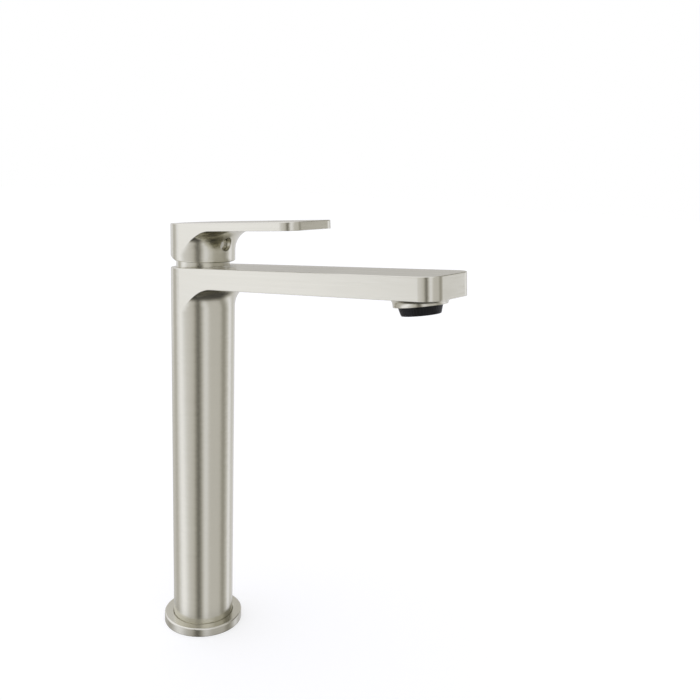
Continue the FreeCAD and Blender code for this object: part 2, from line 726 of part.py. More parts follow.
carrier = new_body("disc_carrier")
carrier_top = carrier_bottom + S.carrier_height
turned(carrier, "carrier_block", [
    (0, carrier_bottom),
    (carrier_radius, carrier_bottom),
    (carrier_radius, carrier_top),
    (0, carrier_top),
])
drum(carrier, "ball_seat", S.stem_ball + S.run_gap, S.carrier_height,
     z=carrier_bottom + S.carrier_floor - S.run_gap)
place(carrier, 0, ball_y)

shell = new_body("cartridge_shell")
step_z = shoulder - S.shoulder_wall
seal_seat = chamber_radius - S.shell_seal * 2
turned(shell, "shell_cup", [
    (shell_bore, base_step),
    (S.shell_radius, base_step),
    (S.shell_radius, shell_seal_z - S.shell_seal - S.fit_gap),
    (seal_seat, shell_seal_z - S.shell_seal - S.fit_gap),
    (seal_seat, shell_seal_z + S.shell_seal + S.fit_gap),
    (S.shell_radius, shell_seal_z + S.shell_seal + S.fit_gap),
    (S.shell_radius, shoulder),
    (neck_radius, shoulder),
    (neck_radius, neck_top),
    (neck_bore, neck_top),
    (neck_bore, step_z),
    (shell_bore, step_z),
])
named(o_ring("cartridge_o_ring", chamber_radius - S.shell_seal, S.shell_seal, z=shell_seal_z),
      "cartridge_o_ring")

rotor = new_body("stem_rotor")
rotor_bottom = carrier_top + S.run_gap * 2
rotor_radius = neck_bore - S.run_gap
collar = shell_bore - S.collar_gap
turned(rotor, "rotor_core", [
    (0, rotor_bottom),
    (collar, rotor_bottom),
    (collar, step_z - S.run_gap),
    (rotor_radius, step_z - S.run_gap),
    (rotor_radius, neck_top + S.run_gap),
    (0, neck_top + S.run_gap),
])
slot_half = S.stem_width / 2 + S.run_gap
slot_end = rotor_radius - S.slot_gap
block(rotor, "stem_slot",
      (-slot_half, -slot_end, rotor_bottom - S.overcut),
      (slot_half, slot_end, neck_top + S.overcut))
drum(rotor, "rotor_pin_hole", S.pin_radius + S.fit_gap, neck_bore * 2,
     -neck_bore, 0, pivot, axis=Vector(0, 1, 0), angle=90)

stem = new_body("lever_stem")
stem_half = S.stem_width / 2
stem_top = skirt_bottom + S.socket_rim + S.socket_depth
block(stem, "stem_bar",
      (-stem_half, -stem_half, pivot - S.stem_foot),
      (stem_half, stem_half, stem_top), add=True)
drum(stem, "stem_lower_arm", S.stem_shank, S.stem_arm, 0, ball_y, ball_z,
     angle=S.stem_crank, add=True)
ball = stem.newObject("PartDesign::AdditiveSphere", "stem_ball")
ball.Radius = float(S.stem_ball)
bind(ball, "Radius", S.stem_ball)
place(ball, 0, ball_y, ball_z)
drum(stem, "stem_pin_hole", S.pin_radius + S.pin_gap, S.stem_width * 2,
     -S.stem_width, 0, pivot, axis=Vector(0, 1, 0), angle=90)

pin = doc.addObject("Part::Cylinder", "stem_pin")
pin.Radius = float(S.pin_radius)
pin_length = (rotor_radius - S.pin_inset) * 2
pin.Height = float(pin_length)
bind(pin, "Radius", S.pin_radius)
bind(pin, "Height", pin_length)
named(place(pin, -pin_length / 2, 0, pivot, Vector(0, 1, 0), 90), "stem_pin")

nut = new_body("cartridge_nut")
turned(nut, "nut_ring", [
    (neck_radius + S.run_gap, shoulder),
    (nut_bore - S.fit_gap, shoulder),
    (nut_bore - S.fit_gap, nut_top),
    (nut_neck, nut_top),
    (nut_neck, nut_top + S.nut_neck_height),
    (neck_radius + S.run_gap, nut_top + S.nut_neck_height),
])
notch = block(nut, "wrench_notch",
              (neck_radius, -S.notch_width / 2, nut_top + S.nut_neck_height - S.notch_depth),
              (nut_neck + S.overcut, S.notch_width / 2,
               nut_top + S.nut_neck_height + S.overcut))
notches = nut.newObject("PartDesign::PolarPattern", "wrench_notches")
notches.Originals = [notch]
notches.Axis = ([f for f in nut.Origin.OriginFeatures if f.Role == "Z_Axis"][0], [""])
notches.Angle = 360.0
notches.Occurrences = NUT_NOTCHES
nut.Tip = notches

bonnet = new_body("bonnet_ring")
bonnet_top = skirt_bottom + S.bonnet_rise
turned(bonnet, "bonnet_cap", [
    (nut_neck + S.fit_gap, nut_top),
    (bonnet_radius, nut_top),
    (bonnet_radius, bonnet_top - S.bonnet_lip),
    (bonnet_radius - S.bonnet_lip, bonnet_top),
    (neck_radius + S.run_gap, bonnet_top),
    (neck_radius + S.run_gap, bonnet_top - S.bonnet_lip),
    (nut_neck + S.fit_gap, bonnet_top - S.bonnet_lip),
])


# Handle

handle = new_body("handle")
flat_limb(handle, "lever", lever_top, S.lever_thickness, S.lever_reach,
          skirt_bottom, S.lever_fillet, S.lever_corner)
hub_bore = body_radius - S.hub_wall
ceiling = skirt_bottom + S.hub_cavity
behind = body_radius + S.overcut
side_slab(handle, "rear_relief", [
    (S.relief_start, skirt_bottom - S.overcut),
    (behind, skirt_bottom - S.overcut),
    (behind, skirt_bottom + (behind - S.relief_start) * tangent(S.relief_angle)),
    (S.relief_start, skirt_bottom),
], behind * 2, "Pocket")
round_edges(handle, "lever_edges", S.edge_round,
            outline_edges(lever_top, S.lever_thickness, S.lever_reach, S.lever_corner))
round_edges(handle, "skirt_edge", S.edge_round, lambda edge: (
    isinstance(edge.Curve, (Part.Circle, Part.Ellipse))
    and edge.BoundBox.ZMin < float(skirt_bottom) + ON_FACE))
drum(handle, "hub_hollow", hub_bore, S.hub_cavity + S.overcut, z=skirt_bottom - S.overcut)
rim = skirt_bottom + S.socket_rim
socket_half = stem_half + S.socket_gap
post_half = socket_half + S.socket_wall
block(handle, "socket_post",
      (-post_half, -post_half, rim), (post_half, post_half, ceiling + S.overcut), add=True)
block(handle, "screw_rib",
      (-S.plug_radius - S.hub_wall, -hub_bore - S.hub_wall / 2, rim),
      (S.plug_radius + S.hub_wall, 0, ceiling + S.overcut), add=True)
block(handle, "stem_socket",
      (-socket_half, -socket_half, rim - S.overcut),
      (socket_half, socket_half, stem_top + S.socket_gap * 2))
screw_z = skirt_bottom + S.screw_height
plug_front = body_radius - S.plug_recess
plug_back = plug_front - S.plug_length
screw_end = plug_back - S.screw_gap
drum(handle, "screw_hole", S.screw_radius + S.fit_gap, body_radius, z=screw_z, angle=90)
drum(handle, "plug_hole", S.plug_radius + S.fit_gap, body_radius, 0, -plug_back, screw_z, angle=90)

screw = new_body("handle_set_screw")
turned(screw, "screw_shank", [
    (0, stem_half),
    (S.screw_radius / 2, stem_half),
    (S.screw_radius, stem_half + S.screw_radius / 2),
    (S.screw_radius, screw_end),
    (0, screw_end),
])
key = flat_sketch(screw, "hex_key", "XY_Plane", screw_end)
turns = [Size(360 / KEY_CORNERS * i, repr(360 / KEY_CORNERS * i)) for i in range(KEY_CORNERS)]
add_polygon(key, [(S.key_radius * cosine(turn), S.key_radius * sine(turn)) for turn in turns])
socket = screw.newObject("PartDesign::Pocket", "hex_socket")
socket.Profile = key
socket.Length = float(S.key_depth)
bind(socket, "Length", S.key_depth)
place(screw, 0, 0, screw_z, angle=90)

plug = new_body("screw_cover_plug")
turned(plug, "plug_cap", [
    (0, plug_back),
    (S.plug_radius, plug_back),
    (S.plug_radius, plug_front - S.edge_round),
    (S.plug_radius - S.edge_round, plug_front),
    (0, plug_front),
])
place(plug, 0, 0, screw_z, angle=90)


# Aerator, drawn upright with its rim at height 0, then leaned with the outlet

housing = new_body("aerator_housing")
lip_top = S.aerator_lip - S.aerator_drop
turned(housing, "housing_cup", [
    (aerator_mouth, -S.aerator_drop),
    (aerator_tip - S.edge_round, -S.aerator_drop),
    (aerator_tip, -S.aerator_drop + S.edge_round),
    (aerator_rim, 0),
    (S.aerator_thread, 0),
    (S.aerator_thread, S.thread_length),
    (aerator_bore, S.thread_length),
    (aerator_bore, lip_top),
    (aerator_mouth, lip_top),
])
outlet_place(housing, 0)

grid = new_body("aerator_grid")
grid_radius = aerator_bore - S.fit_gap
grid_top = lip_top + S.grid_thickness
turned(grid, "grid_plate", [
    (0, lip_top),
    (grid_radius, lip_top),
    (grid_radius, grid_top),
    (0, grid_top),
])
drum(grid, "middle_hole", S.grid_hole, S.grid_thickness, z=lip_top)
rings = int((float(aerator_mouth) - float(S.grid_hole)) / float(S.grid_ring_step))
for ring in range(1, rings + 1):
    hole = drum(grid, "grid_hole_%d" % ring, S.grid_hole, S.grid_thickness,
                S.grid_ring_step * ring, 0, lip_top)
    holes = grid.newObject("PartDesign::PolarPattern", "grid_ring_%d" % ring)
    holes.Originals = [hole]
    holes.Axis = ([f for f in grid.Origin.OriginFeatures if f.Role == "Z_Axis"][0], [""])
    holes.Angle = 360.0
    holes.Occurrences = HOLES_PER_RING * ring
    grid.Tip = holes
outlet_place(grid, 0)

core = new_body("flow_regulator")
core_top = grid_top + S.core_height
dimple = grid_radius / 3
turned(core, "regulator_core", [
    (0, grid_top),
    (grid_radius, grid_top),
    (grid_radius, core_top),
    (dimple, core_top),
    (dimple, core_top - S.core_height / 2),
    (0, core_top - S.core_height / 2),
])
jet = drum(core, "jet_hole", S.grid_hole, S.core_height, dimple * 2, 0, grid_top)
jets = core.newObject("PartDesign::PolarPattern", "jet_holes")
jets.Originals = [jet]
jets.Axis = ([f for f in core.Origin.OriginFeatures if f.Role == "Z_Axis"][0], [""])
jets.Angle = 360.0
jets.Occurrences = JET_HOLES
core.Tip = jets
outlet_place(core, 0)

washer = plain_ring("aerator_washer", aerator_mouth + S.fit_gap, S.aerator_thread,
                    S.washer_thickness)
named(outlet_place(washer, S.thread_length), "aerator_washer")


# Checks and export

doc.recompute()
for item in doc.Objects:
    for state in ("Invalid", "Error"):
        if state in item.State:
            raise RuntimeError("%s is %s" % (item.Name, state))
os.makedirs("parts", exist_ok=True)
for piece in pieces:
    shape = piece.Shape
    if shape.isNull() or not shape.isValid() or not shape.Solids:
        raise RuntimeError("%s has no sound shape" % piece.Label)
    print("%-22s solids %d faces %3d volume %10.1f  %s" % (
        piece.Label, len(shape.Solids), len(shape.Faces), shape.Volume, shape.BoundBox))
    shape.exportStep(os.path.join("parts", piece.Label + ".step"))
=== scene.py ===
"""Brushed nickel basin mixer: finishes, aerator details and studio for its construction model.

Metres, in the construction model's own frame: +Z up, spout towards -Y, origin in the deck plane.
"""
import math

import bmesh
import bpy
import numpy as np
from mathutils import Matrix, Vector


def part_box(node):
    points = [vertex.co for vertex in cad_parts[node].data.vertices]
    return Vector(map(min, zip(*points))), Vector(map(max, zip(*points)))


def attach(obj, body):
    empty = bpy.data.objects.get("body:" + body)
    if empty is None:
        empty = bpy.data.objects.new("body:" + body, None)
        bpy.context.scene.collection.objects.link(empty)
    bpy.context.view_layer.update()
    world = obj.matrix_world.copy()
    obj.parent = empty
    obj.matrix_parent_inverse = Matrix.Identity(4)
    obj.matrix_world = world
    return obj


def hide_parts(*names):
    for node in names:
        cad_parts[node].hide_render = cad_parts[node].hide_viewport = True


bl_info = {
    "name": "Basin mixer",
    "version": (1, 0, 0),
    "blender": (4, 5, 0),
    "location": "View3D > Sidebar > Mixer",
    "description": "Finishes, small details and studio of a tall single-lever basin mixer",
    "category": "Add Mesh",
}

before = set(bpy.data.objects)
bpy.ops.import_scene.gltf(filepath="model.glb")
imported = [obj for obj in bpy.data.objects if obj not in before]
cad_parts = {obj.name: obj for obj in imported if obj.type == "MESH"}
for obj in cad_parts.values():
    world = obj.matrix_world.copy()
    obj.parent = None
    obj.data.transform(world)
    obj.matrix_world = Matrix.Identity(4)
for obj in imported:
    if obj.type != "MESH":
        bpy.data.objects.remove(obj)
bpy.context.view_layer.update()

# The outlet's collar: its rim's middle, the way that the water leaves, and the housing in it.
AERATOR_RIM = (0.0, -0.182042, 0.273323)
AERATOR_AXIS = (0.0, -0.173648, -0.984808)
AERATOR_TOP = 0.0133        # black housing's radius at the collar
AERATOR_TIP = 0.01195       # and at its lower end
AERATOR_DROP = 0.00545      # black housing below the collar
AERATOR_THREAD = 0.012      # radius of the plain cylinder that stands for the thread
THREAD_LENGTH = 0.0048
AERATOR_BORE = 0.0106       # radius of the room for the grid
AERATOR_MOUTH = 0.0094      # radius of the opening below it
AERATOR_LIP = 0.0018        # height of the lip that holds the grid
ROUND = 0.0005              # rounding of the housing's lower edge
SHADOW_GAP = 0.0006         # groove between the collar and the black housing
RIB_START = 0.9             # share of a plain band where the flutes begin to ease in

PLUG_ROOT = 0.98            # hidden end of the cover plug, as a share of its radius
PLUG_STEPS = 96             # faces around the cover plug
RIB_STEPS = 8               # faces around each rib of the housing

ON_AXIS = 1e-9              # a radius below this is a pole
SAME_PLACE = 1e-7           # points closer than this are one
SHARP_CORNER = math.radians(32)


# Node helpers

class Graph:
    """A node tree that is written from top to bottom."""

    # A mix node's sockets for each kind of value: start, end and result.
    MIX_SOCKETS = {"FLOAT": (2, 3, 0), "VECTOR": (4, 5, 1), "RGBA": (6, 7, 2)}

    def __init__(self, tree):
        self.tree = tree
        tree.nodes.clear()

    def add(self, kind, options=None, **sockets):
        """A node with its options, and sockets given as values or as outputs of other nodes.

        A socket goes by its name, with _ for a space, or by i and its number.
        """
        node = self.tree.nodes.new(kind)
        for name, value in (options or {}).items():
            setattr(node, name, value)
        for name, value in sockets.items():
            socket = int(name[1:]) if name[1:].isdigit() else name.replace("_", " ")
            self.set(node, socket, value)
        return node

    def set(self, node, socket, value):
        """Give a socket a value, or link an output of another node to it."""
        if isinstance(value, bpy.types.NodeSocket):
            self.tree.links.new(value, node.inputs[socket])
        else:
            node.inputs[socket].default_value = value

    def math(self, operation, *values):
        """One step of arithmetic on numbers."""
        node = self.tree.nodes.new("ShaderNodeMath")
        node.operation = operation
        for i, value in enumerate(values):
            self.set(node, i, value)
        return node.outputs[0]

    def vector(self, operation, *values):
        """One step of arithmetic on vectors."""
        node = self.tree.nodes.new("ShaderNodeVectorMath")
        node.operation = operation
        for i, value in enumerate(values):
            self.set(node, i, value)
        return node.outputs[0]

    def smooth(self, value, low, high, start, end):
        """A value that eases from start to end while the input goes from low to high."""
        node = self.add("ShaderNodeMapRange", {"interpolation_type": "SMOOTHSTEP"},
                        Value=value, From_Min=low, From_Max=high, To_Min=start, To_Max=end)
        return node.outputs["Result"]

    def mix(self, kind, factor, first, second):
        """A blend from the first value to the second, as the factor goes from 0 to 1."""
        node = self.tree.nodes.new("ShaderNodeMix")
        node.data_type = kind
        start, end, result = self.MIX_SOCKETS[kind]
        self.set(node, 0, factor)
        self.set(node, start, first)
        self.set(node, end, second)
        return node.outputs[result]


def new_material(name):
    """An empty node material and its graph."""
    material = bpy.data.materials.new(name)
    material.use_nodes = True
    return material, Graph(material.node_tree)


def dress(name, material):
    """Give a node of the construction model its finish."""
    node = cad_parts[name]
    node.data.materials.clear()
    node.data.materials.append(material)


# Finishes

# The arm and the lever rise by 5 degrees in front of the column, and their marks rise with them.
LIMB_ROOT = 0.0225          # where that slope begins, in front of the column's axis
LIMB_SLOPE = math.tan(math.radians(5.0))

# How many times a metre the noise of the brush marks changes, across them and along them.
MARKS_ACROSS = 2600
MARKS_ALONG = 9
COARSE_MARKS = 0.15         # scale of the coarse marks, as a share of the fine ones'
SWAY_ACROSS = 850           # the same for the slower noise that sways the marks
SWAY_ALONG = 60

# Upward part of a normal: up to the first value a face is a wall, from the second it is flat.
WALL_UP_TO = 0.5
FLAT_FROM = 0.8

# Cosine between the rounded normal and the face's own, where a corner takes all of the painted
# highlight or none of it.
HIGHLIGHT_FULL = 0.90
HIGHLIGHT_NONE = 0.995

RELIEF = 0.0001             # height of marks and grain, of which a finish takes its share
STREAK_GLOSS = 0.04         # spread of the roughness with the fine marks
COARSE_GLOSS = 0.16         # and with the coarse ones
GRAIN_GLOSS = 0.1           # and with the grain of a plain finish
CLOUD_SIZE = 12             # clouds in a plain finish's tone are this much coarser than its grain


def lowered_with_limbs(g, spot):
    """A place, lowered in front of the column by as much as the arm and the lever rise there."""
    ahead = g.math("MAXIMUM", g.math("SUBTRACT", -LIMB_ROOT, spot["Y"]), 0.0)
    lowered = g.math("SUBTRACT", spot["Z"], g.math("MULTIPLY", ahead, LIMB_SLOPE))
    return g.add("ShaderNodeCombineXYZ", X=spot["X"], Y=spot["Y"], Z=lowered).outputs[0]


def rings_about_axis(g, spot):
    """Distance from the upright axis, stretched so that noise on it makes rings."""
    squares = g.math("ADD", g.math("POWER", spot["X"], 2.0), g.math("POWER", spot["Y"], 2.0))
    stretched = g.math("MULTIPLY", g.math("SQRT", squares), MARKS_ACROSS)
    return g.add("ShaderNodeCombineXYZ", X=stretched).outputs[0]


def swayed(g, normal, brushed, wall, strength):
    """A normal that a slow noise turns along the brushing, on walls only."""
    drift = g.add("ShaderNodeMapping", Vector=brushed,
                  Scale=(SWAY_ALONG, SWAY_ALONG, SWAY_ACROSS)).outputs[0]
    drift = g.add("ShaderNodeTexNoise", Vector=drift, Scale=1.0, Detail=2.0).outputs["Fac"]
    sway = g.math("MULTIPLY", g.math("SUBTRACT", drift, 0.5), strength)
    sideways = g.add("ShaderNodeVectorMath", {"operation": "SCALE"},
                     i0=g.vector("CROSS_PRODUCT", normal, (0.0, 0.0, 1.0)),
                     Scale=g.math("MULTIPLY", sway, wall)).outputs[0]
    return g.vector("NORMALIZE", g.vector("ADD", normal, sideways))


def brushed_nickel(name, finish, turned=False):
    """Satin nickel, brushed level with the ground around upright faces and lengthwise on flat ones.

    The brush marks are noise stretched along the brushing. They tilt the surface a little and
    change its roughness and tone. They rise with the arm and the lever, and are rings on the flat
    faces of a turned piece. Lights smear across them, so the tangent stands across the marks:
    upright on walls, sideways on flat faces, and from the axis outwards on a turned one. On walls
    the marks also sway, which frays the edges of reflections. Corners are rounded by a hair, and
    where the rounded normal leaves the face's own the tone turns lighter, a painted highlight.
    """
    material, g = new_material(name)
    place = g.add("ShaderNodeTexCoord").outputs["Object"]
    worn = g.add("ShaderNodeBevel", {"samples": 6}, Radius=finish.worn_edge).outputs[0]
    normal = g.add("ShaderNodeNewGeometry").outputs["Normal"]
    parts = g.add("ShaderNodeSeparateXYZ", Vector=normal).outputs
    wall = g.smooth(g.math("ABSOLUTE", parts["Z"]), WALL_UP_TO, FLAT_FROM, 1.0, 0.0)

    spot = g.add("ShaderNodeSeparateXYZ", Vector=place).outputs
    brushed = place if turned else lowered_with_limbs(g, spot)
    level = g.add("ShaderNodeMapping", Vector=brushed,
                  Scale=(MARKS_ALONG, MARKS_ALONG, MARKS_ACROSS)).outputs[0]
    if turned:
        outward = g.vector("MULTIPLY", place, (1.0, 1.0, 0.0))
        along = rings_about_axis(g, spot)
    else:
        outward = (1.0, 0.0, 0.0)
        along = g.add("ShaderNodeMapping", Vector=place,
                      Scale=(MARKS_ACROSS, MARKS_ALONG, MARKS_ALONG)).outputs[0]
    marks = g.mix("VECTOR", wall, along, level)
    tangent = g.mix("VECTOR", wall, outward, (0.0, 0.0, 1.0))
    streak = g.add("ShaderNodeTexNoise", Vector=marks, Scale=1.0, Detail=3.0,
                   Roughness=0.65).outputs["Fac"]
    coarse = g.add("ShaderNodeTexNoise", Vector=marks, Scale=COARSE_MARKS, Detail=2.0,
                   Roughness=0.6).outputs["Fac"]

    tone = g.mix("RGBA", streak, (*finish.nickel_dark, 1), (*finish.nickel_light, 1))
    # Painted highlight: where the rounded normal leaves the face's own, the tone turns to the
    # lighter edge colour.
    bent = g.add("ShaderNodeVectorMath", {"operation": "DOT_PRODUCT"}, i0=worn, i1=normal)
    edge_highlight = g.smooth(bent.outputs["Value"], HIGHLIGHT_FULL, HIGHLIGHT_NONE, 1.0, 0.0)
    tone = g.mix("RGBA", edge_highlight, tone, (*finish.nickel_edge_highlight, 1))
    smoothest = finish.nickel_roughness - (STREAK_GLOSS + COARSE_GLOSS) / 2
    rough = g.math("ADD", smoothest, g.math("MULTIPLY", streak, STREAK_GLOSS))
    rough = g.math("ADD", rough, g.math("MULTIPLY", coarse, COARSE_GLOSS))
    worn = swayed(g, worn, brushed, wall, finish.brush_sway)
    bump = g.add("ShaderNodeBump", Strength=finish.brush_depth, Distance=RELIEF, Height=streak,
                 Normal=worn)
    shader = g.add("ShaderNodeBsdfPrincipled", Base_Color=tone, Roughness=rough,
                   Normal=bump.outputs[0], Tangent=tangent)
    shader.inputs["Metallic"].default_value = 1.0
    shader.inputs["Anisotropic"].default_value = finish.nickel_anisotropy
    g.add("ShaderNodeOutputMaterial", Surface=shader.outputs[0])
    return material


def plain_finish(name, colour, roughness, metallic=0.0, grain=400.0, grain_depth=0.15, tone=0.08,
                 shine=0.5):
    """A moulded, ground or turned surface, with a fine grain and soft clouds in its tone."""
    material, g = new_material(name)
    place = g.add("ShaderNodeTexCoord").outputs["Object"]
    noise = g.add("ShaderNodeTexNoise", Vector=place, Scale=grain, Detail=4.0).outputs["Fac"]
    cloud = g.add("ShaderNodeTexNoise", Vector=place, Scale=grain / CLOUD_SIZE,
                  Detail=2.0).outputs["Fac"]
    dark = tuple(c * (1 - tone) for c in colour)
    light = tuple(min(c * (1 + tone), 1.0) for c in colour)
    shade = g.mix("RGBA", cloud, (*dark, 1), (*light, 1))
    smoothest = roughness - GRAIN_GLOSS / 2
    rough = g.math("ADD", smoothest, g.math("MULTIPLY", noise, GRAIN_GLOSS))
    bump = g.add("ShaderNodeBump", Strength=grain_depth, Distance=RELIEF, Height=noise)
    shader = g.add("ShaderNodeBsdfPrincipled", Base_Color=shade, Roughness=rough,
                   Normal=bump.outputs[0])
    shader.inputs["Metallic"].default_value = metallic
    shader.inputs["Specular IOR Level"].default_value = shine
    g.add("ShaderNodeOutputMaterial", Surface=shader.outputs[0])
    return material


# Turned surfaces

def turned_surface(name, profile, start, axis, steps, ribs=0, rib_depth=None):
    """A closed surface turned about an axis, fluted where a rib depth says so.

    A point is start + axis * s + (u * cos t + v * sin t) * (r - d * (1 - cos(ribs * t)) / 2),
    where s and r are the profile's distance along the axis and its radius, d is the flutes'
    depth at that place of the profile, t goes once around, and u and v stand square to the
    axis, which isn't X. The profile ends where it starts, or starts and ends at a radius of 0,
    which is a pole.
    """
    s, r = np.array(profile, float).T
    ends_meet = np.allclose(profile[0], profile[-1])
    if not ends_meet and max(r[0], r[-1]) > ON_AXIS:
        raise ValueError(name + " is open")
    depth = np.zeros_like(r) if rib_depth is None else np.array(rib_depth, float)
    axis = np.array(axis, float) / np.linalg.norm(axis)
    u = np.cross(axis, (1.0, 0.0, 0.0))
    u /= np.linalg.norm(u)
    v = np.cross(axis, u)
    t = np.linspace(0.0, 2 * np.pi, steps, endpoint=False)
    radius = r[:, None] - depth[:, None] * (1 - np.cos(ribs * t))[None, :] / 2
    around = np.cos(t)[:, None] * u + np.sin(t)[:, None] * v
    points = (np.array(start) + axis * s[:, None])[:, None, :] + radius[..., None] * around
    rows = len(s)
    i, j = np.meshgrid(np.arange(rows - 1), np.arange(steps), indexing="ij")
    k = (j + 1) % steps
    faces = np.stack([i * steps + j, i * steps + k, (i + 1) * steps + k, (i + 1) * steps + j], -1)
    mesh = bpy.data.meshes.new(name)
    mesh.from_pydata(points.reshape(-1, 3).tolist(), [], faces.reshape(-1, 4).tolist())
    piece = bpy.data.objects.new(name, mesh)
    bpy.context.scene.collection.objects.link(piece)
    work = bmesh.new()
    work.from_mesh(mesh)
    bmesh.ops.remove_doubles(work, verts=work.verts, dist=SAME_PLACE)
    bmesh.ops.recalc_face_normals(work, faces=work.faces)
    work.to_mesh(mesh)
    work.free()
    mesh.shade_smooth()
    mesh.set_sharp_from_angle(angle=SHARP_CORNER)
    return piece


def evenly(first, last, count):
    """Values from first to last, spaced evenly, without the last."""
    return np.linspace(first, last, count, endpoint=False)


class MixerSizes(bpy.types.PropertyGroup):
    """Small shapes that the finishes need."""

    plug_crown: bpy.props.FloatProperty(
        name="Plug crown", description="How far the cover plug's face bulges", unit="LENGTH",
        default=0.0002)
    plug_rim: bpy.props.FloatProperty(
        name="Plug rim", description="Rounding around the cover plug's face", unit="LENGTH",
        default=0.0005)
    aerator_ribs: bpy.props.IntProperty(
        name="Aerator ribs", description="Grip ribs around the black housing", default=48)
    rib_depth: bpy.props.FloatProperty(
        name="Rib depth", description="Depth of the flutes between the ribs", unit="LENGTH",
        default=0.00016)
    aerator_band: bpy.props.FloatProperty(
        name="Aerator band", description="Smooth band at either end of the ribs",
        unit="LENGTH", default=0.001)


class MixerFinish(bpy.types.PropertyGroup):
    """Colours and gloss of the metal and the plastics."""

    nickel_light: bpy.props.FloatVectorProperty(
        name="Nickel, light", description="Colour on the crests of the brush marks",
        subtype="COLOR", default=(0.656, 0.638, 0.55))
    nickel_dark: bpy.props.FloatVectorProperty(
        name="Nickel, dark", description="Colour in the brush marks",
        subtype="COLOR", default=(0.592, 0.574, 0.486))
    # Painted highlight: the lighter colour that corners take where the rounded normal bends away.
    nickel_edge_highlight: bpy.props.FloatVectorProperty(
        name="Nickel, edges", description="Colour of corners that the brush rubbed bright",
        subtype="COLOR", default=(0.72, 0.704, 0.632))
    nickel_roughness: bpy.props.FloatProperty(
        name="Nickel roughness", description="Gloss of the brushed metal", default=0.21)
    nickel_anisotropy: bpy.props.FloatProperty(
        name="Brushing", description="How far lights smear across the brush marks", default=0.45)
    brush_depth: bpy.props.FloatProperty(
        name="Brush depth", description="Relief of the brush marks", default=0.07)
    brush_sway: bpy.props.FloatProperty(
        name="Brush sway", description="How far the marks fray the edges of reflections",
        default=0.055)
    worn_edge: bpy.props.FloatProperty(
        name="Worn edge", description="Rounding that the brush leaves on sharp corners",
        unit="LENGTH", default=0.0007)
    cap_plating: bpy.props.FloatVectorProperty(
        name="Cap plating", description="Plated cap over the set screw",
        subtype="COLOR", default=(0.744, 0.728, 0.672))
    housing_black: bpy.props.FloatVectorProperty(
        name="Aerator black", description="Moulded housing of the aerator",
        subtype="COLOR", default=(0.007, 0.007, 0.0075))
    grid_black: bpy.props.FloatVectorProperty(
        name="Grid black", description="Moulded jet grid of the aerator",
        subtype="COLOR", default=(0.03, 0.03, 0.033))
    rubber_black: bpy.props.FloatVectorProperty(
        name="Rubber", description="Gasket, seals and washer",
        subtype="COLOR", default=(0.02, 0.02, 0.02))
    brass: bpy.props.FloatVectorProperty(
        name="Brass", description="Turned brass inside the body",
        subtype="COLOR", default=(0.78, 0.6, 0.33))
    steel: bpy.props.FloatVectorProperty(
        name="Steel", description="Drawn tubes, pin and screw",
        subtype="COLOR", default=(0.6, 0.6, 0.61))
    cartridge_white: bpy.props.FloatVectorProperty(
        name="Cartridge white", description="Moulded pieces of the cartridge",
        subtype="COLOR", default=(0.8, 0.8, 0.78))
    ceramic_white: bpy.props.FloatVectorProperty(
        name="Ceramic", description="Lapped ceramic discs",
        subtype="COLOR", default=(0.86, 0.85, 0.82))


class MixerStudio(bpy.types.PropertyGroup):
    """The studio's camera."""

    camera_place: bpy.props.FloatVectorProperty(
        name="Camera", description="Where the camera stands", subtype="TRANSLATION",
        unit="LENGTH", default=(-0.399266, -0.428228, 0.354579))
    camera_turn: bpy.props.FloatProperty(
        name="Turn", description="Camera's heading, from the back towards the cold side",
        subtype="ANGLE", default=math.radians(53.478))
    camera_drop: bpy.props.FloatProperty(
        name="Drop", description="Camera below the level line", subtype="ANGLE",
        default=math.radians(13.22))
    camera_roll: bpy.props.FloatProperty(
        name="Roll", description="Camera about its own line of sight", subtype="ANGLE",
        default=math.radians(2.40))
    focal_length: bpy.props.FloatProperty(
        name="Focal length", description="On a sensor 36 mm wide", default=41.93)


def settings():
    """Colours and gloss, as the scene holds them."""
    return bpy.context.scene.mixer_finish


# Operators

class MIXER_OT_metal(bpy.types.Operator):
    """Brushed nickel for column and spout, flange, bonnet and handle"""

    bl_idname = "mixer.metal"
    bl_label = "Brushed metal"

    def execute(self, context):
        nickel = brushed_nickel("brushed_nickel", settings())
        turned = brushed_nickel("turned_nickel", settings(), turned=True)
        for name in ("column_and_spout", "handle"):
            dress(name, nickel)
        for name in ("base_flange", "bonnet_ring"):
            dress(name, turned)
        return {"FINISHED"}


class MIXER_OT_inner(bpy.types.Operator):
    """Finishes of the pieces inside"""

    bl_idname = "mixer.inner"
    bl_label = "Inner pieces"

    def execute(self, context):
        colours = settings()
        rubber = plain_finish("black_rubber", colours.rubber_black, 0.7)
        brass = plain_finish("turned_brass", colours.brass, 0.3, 1.0)
        steel = plain_finish("drawn_steel", colours.steel, 0.3, 1.0)
        plastic = plain_finish("white_plastic", colours.cartridge_white, 0.45)
        ceramic = plain_finish("lapped_ceramic", colours.ceramic_white, 0.2)
        dark = plain_finish("dark_plastic", colours.grid_black, 0.4)
        finishes = {
            rubber: ("deck_gasket", "foot_o_ring", "riser_o_rings", "inlet_seals",
                     "cartridge_o_ring", "aerator_washer"),
            brass: ("foot_insert", "cartridge_nut", "lever_stem"),
            steel: ("hot_riser_tube", "cold_riser_tube", "stem_pin", "handle_set_screw"),
            plastic: ("cartridge_base", "cartridge_shell", "disc_carrier", "stem_rotor",
                      "flow_regulator"),
            ceramic: ("fixed_ceramic_disc", "moving_ceramic_disc"),
            dark: ("aerator_grid",),
        }
        for finish, names in finishes.items():
            for name in names:
                dress(name, finish)
        return {"FINISHED"}


